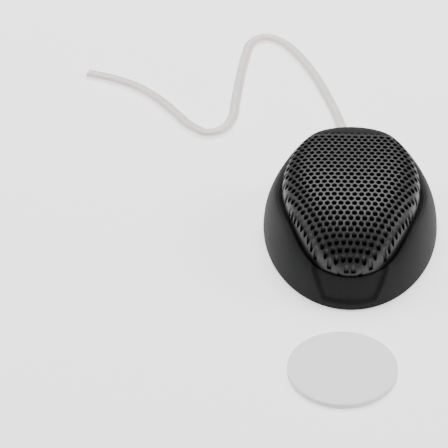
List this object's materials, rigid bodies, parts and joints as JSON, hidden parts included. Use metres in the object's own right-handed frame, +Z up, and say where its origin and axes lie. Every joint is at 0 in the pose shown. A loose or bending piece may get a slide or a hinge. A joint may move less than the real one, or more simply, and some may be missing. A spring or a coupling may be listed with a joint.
{
  "type": "car tweeter",
  "caption": "Surface-mount car tweeter: egg-shaped housing with a sloping perforated grille, moving-coil driver, twin lead and adhesive pad.",
  "frame": {"origin": "underside of the base plate, on the centre line, at the widest line of the housing", "axes": "+Z up out of the mounting surface; -Y towards the low nose with the recessed chin and the loose pad; +Y towards the back, where the lead leaves"},
  "size_m": [0.1146, 0.1872, 0.0251],
  "materials": {
    "housing_plastic": "charcoal moulded plastic with a fine spark-eroded grain",
    "grille_plastic": "black moulded plastic, semi-matt, perforated",
    "base_plastic": "black moulded plastic, plain",
    "chassis_plastic": "black moulded plastic, plain",
    "zinc_steel": "zinc-plated screw steel",
    "plated_steel": "plated mild steel",
    "ferrite": null,
    "film": "thin polyester film, smoke grey",
    "soft_rubber": "soft black rubber",
    "copper": null,
    "felt": "grey wool felt",
    "board": "brown phenolic board",
    "brass": "tinned brass",
    "capacitor_sleeve": "dark blue shrink sleeve, unmarked",
    "lead_insulation": "clear-white PVC twin insulation over one copper and one tinned conductor",
    "foam": "white closed-cell foam with adhesive on both faces",
    "liner": "white coated release paper"
  },
  "bodies": {
    "tweeter": {"housing_shell": "housing_plastic", "grille": "grille_plastic", "base_plate": "base_plastic", "base_screw_front": "zinc_steel", "base_screw_left": "zinc_steel", "base_screw_right": "zinc_steel", "driver_chassis": "chassis_plastic", "chassis_screw_front": "zinc_steel", "chassis_screw_left": "zinc_steel", "chassis_screw_right": "zinc_steel", "yoke": "plated_steel", "magnet": "ferrite", "top_plate": "plated_steel", "damping_felt": "felt", "surround": "soft_rubber", "clamp_ring": "chassis_plastic", "terminal_board": "board", "solder_tag_positive": "brass", "solder_tag_negative": "brass", "coil_wire_positive": "copper", "coil_wire_negative": "copper", "capacitor": "capacitor_sleeve", "capacitor_wire_tag": "plated_steel", "capacitor_wire_lead": "plated_steel", "splice_sleeve": "soft_rubber", "lead_core_positive": "lead_insulation", "lead_core_negative": "lead_insulation", "lead_grommet": "soft_rubber", "speaker_lead": "lead_insulation"},
    "voice_coil": {"diaphragm": "film", "coil_former": "film", "coil_winding": "copper"},
    "pad_lower_liner": {"pad_liner_lower": "liner"},
    "pad_foam": {"adhesive_pad": "foam"},
    "pad_upper_liner": {"pad_liner_upper": "liner"}
  },
  "joints": [
    {"name": "voice_coil_travel", "type": "slide", "parent": "tweeter", "child": "voice_coil", "axis": [0, 0, 1], "range_m": [-0.0004, 0.0004], "stiffness_N_per_m": 1000, "deforming": ["surround"]},
    {"name": "pad_lift", "type": "slide", "parent": "tweeter", "child": "pad_lower_liner", "axis": [0, 0, 1], "range_m": [0, 0.02]},
    {"name": "foam_peel", "type": "slide", "parent": "pad_lower_liner", "child": "pad_foam", "axis": [0, 0, 1], "range_m": [0, 0.01]},
    {"name": "upper_liner_peel", "type": "slide", "parent": "pad_foam", "child": "pad_upper_liner", "axis": [0, 0, 1], "range_m": [0, 0.01]}
  ]
}
